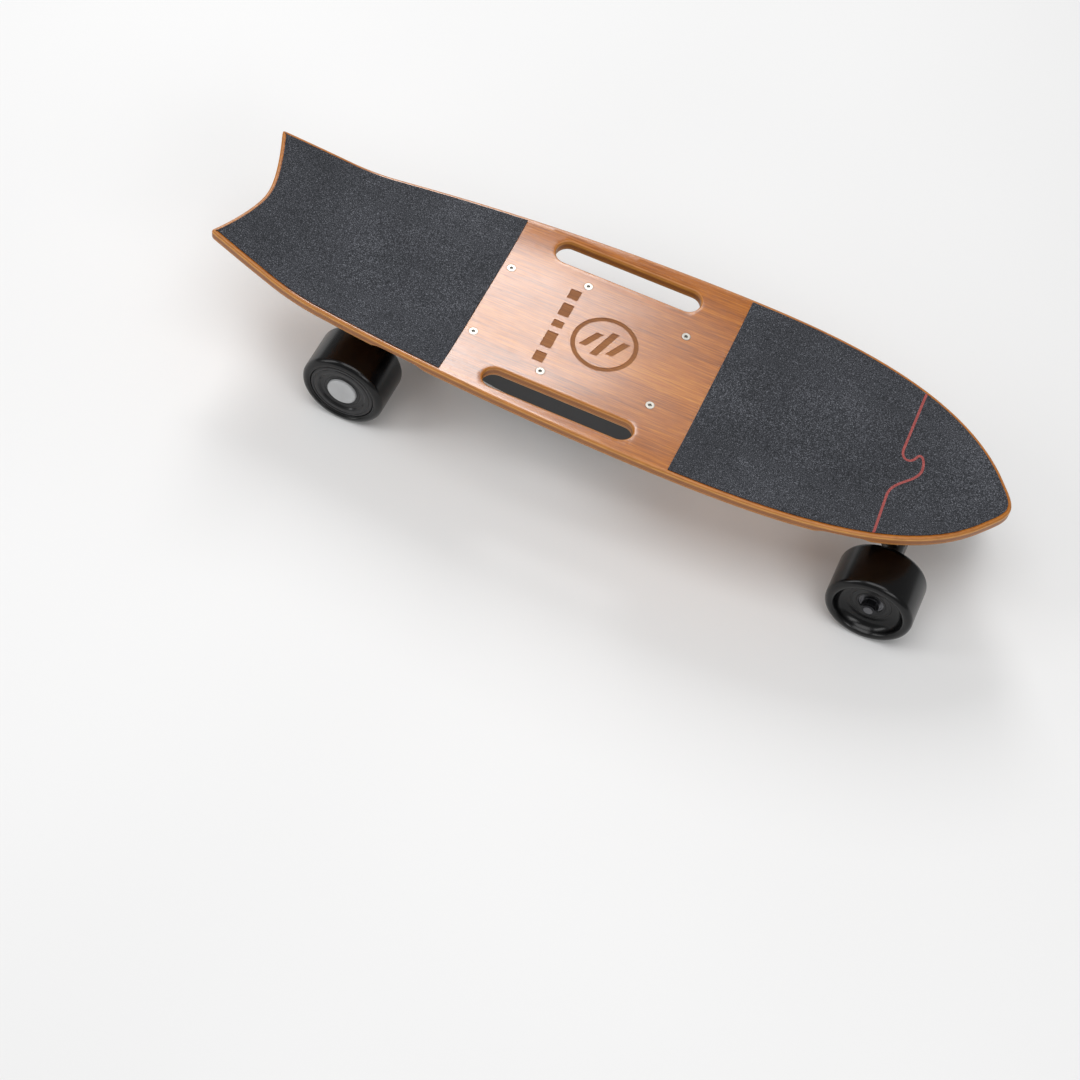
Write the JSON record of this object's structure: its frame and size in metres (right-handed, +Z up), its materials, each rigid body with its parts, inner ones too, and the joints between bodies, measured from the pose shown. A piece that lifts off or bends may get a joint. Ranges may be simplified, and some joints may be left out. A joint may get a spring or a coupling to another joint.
{
  "type": "electric skateboard",
  "caption": "Short wooden electric cruiser board with swallow tail, hand slots, grip tape, sprung trucks, rear hub motors and an electronics box under the deck.",
  "frame": {"origin": "on the ground, midway between the nose's tip and the tail's tips, on the board's centre line", "axes": "+X towards the nose, +Y to the left side, +Z up"},
  "size_m": [0.7, 0.2046, 0.141],
  "materials": {
    "wood": "satin lacquer over bamboo veneer",
    "grip": "gritty charcoal grip tape",
    "line": "thin red inlay line",
    "bright_screw": "bright steel",
    "black_rubber": "black rubber",
    "dark_steel": "blackened steel",
    "black_casting": "gloss black paint on cast aluminium",
    "urethane": "black urethane",
    "axle_steel": "turned steel",
    "wheel_urethane": "glossy black polyurethane",
    "core_plastic": "black moulded core",
    "windings": "laminated iron and enamelled copper",
    "black_can": "black anodised rotor can",
    "polished_flange": "polished aluminium",
    "grey_cap": "light grey cap",
    "cable": "black cable sheath",
    "box_plastic": "fine-textured charcoal plastic",
    "cells": "shrink-wrapped cells",
    "circuit_board": "green circuit board",
    "button_plastic": "black plastic",
    "lens": "milky lens"
  },
  "bodies": {
    "board": {"deck": "wood", "grip_tape_rear": "grip", "grip_tape_front": "grip", "grip_line_inlay": "line", "deck_screws": "bright_screw", "rear_riser_pads": "black_rubber", "front_riser_pads": "black_rubber", "truck_bolts": "dark_steel", "truck_bolt_nuts": "dark_steel", "rear_baseplate": "black_casting", "front_baseplate": "black_casting", "rear_pivot_cup": "urethane", "front_pivot_cup": "urethane", "rear_kingpin": "dark_steel", "front_kingpin": "dark_steel", "rear_bushings": "urethane", "front_bushings": "urethane", "rear_bushing_washers": "dark_steel", "front_bushing_washers": "dark_steel", "rear_kingpin_nut": "dark_steel", "front_kingpin_nut": "dark_steel", "motor_cable_left": "cable", "motor_cable_right": "cable", "cable_glands": "black_rubber", "box_shell": "box_plastic", "box_gasket": "black_rubber", "battery_cells": "cells", "battery_board": "circuit_board", "speed_controller": "circuit_board", "power_button_ring": "bright_screw", "charge_port": "button_plastic", "indicator_lens": "lens"},
    "rear_truck": {"rear_hanger": "black_casting", "motor_clamp_screws": "dark_steel", "left_motor_shaft": "axle_steel", "right_motor_shaft": "axle_steel", "left_motor_stator": "windings", "right_motor_stator": "windings"},
    "front_truck": {"front_hanger": "black_casting", "front_axle": "axle_steel", "front_axle_spacers": "axle_steel", "front_axle_nuts": "dark_steel"},
    "left_rear_wheel": {"left_motor_can": "black_can", "left_motor_flange": "polished_flange", "left_motor_cap": "grey_cap", "left_motor_tyre": "wheel_urethane", "left_motor_bearings": "axle_steel"},
    "right_rear_wheel": {"right_motor_can": "black_can", "right_motor_flange": "polished_flange", "right_motor_cap": "grey_cap", "right_motor_tyre": "wheel_urethane", "right_motor_bearings": "axle_steel"},
    "left_front_wheel": {"left_front_tyre": "wheel_urethane", "left_front_core": "core_plastic", "left_front_bearings": "axle_steel"},
    "right_front_wheel": {"right_front_tyre": "wheel_urethane", "right_front_core": "core_plastic", "right_front_bearings": "axle_steel"},
    "power_button": {"power_button": "button_plastic"},
    "charge_cap": {"charge_port_cap": "black_rubber"}
  },
  "joints": [
    {"name": "rear_steer", "type": "hinge", "parent": "board", "child": "rear_truck", "pos_m": [-0.1818, 0, 0.059], "axis": [-0.8829, 0, 0.4695], "range_deg": [-14, 14], "stiffness_Nm_per_rad": 45, "deforming": ["rear_bushings", "motor_cable_left", "motor_cable_right"]},
    {"name": "front_steer", "type": "hinge", "parent": "board", "child": "front_truck", "pos_m": [0.2468, 0, 0.059], "axis": [0.8829, 0, 0.4695], "range_deg": [-14, 14], "stiffness_Nm_per_rad": 45, "deforming": ["front_bushings"]},
    {"name": "left_rear_spin", "type": "hinge", "parent": "rear_truck", "child": "left_rear_wheel", "pos_m": [-0.2098, 0.0747, 0.038], "axis": [0, 1, 0], "continuous": true},
    {"name": "right_rear_spin", "type": "hinge", "parent": "rear_truck", "child": "right_rear_wheel", "pos_m": [-0.2098, -0.0747, 0.038], "axis": [0, 1, 0], "continuous": true},
    {"name": "left_front_spin", "type": "hinge", "parent": "front_truck", "child": "left_front_wheel", "pos_m": [0.2748, 0.0747, 0.038], "axis": [0, 1, 0], "continuous": true},
    {"name": "right_front_spin", "type": "hinge", "parent": "front_truck", "child": "right_front_wheel", "pos_m": [0.2748, -0.0747, 0.038], "axis": [0, 1, 0], "continuous": true},
    {"name": "power_button_press", "type": "slide", "parent": "board", "child": "power_button", "axis": [0, -1, 0], "range_m": [0, 0.0015], "stiffness_N_per_m": 400, "springref_m": -0.001},
    {"name": "charge_cap_swing", "type": "hinge", "parent": "board", "child": "charge_cap", "pos_m": [-0.0506, 0.0598, 0.084], "axis": [0, 0, -1], "range_deg": [0, 110]}
  ]
}
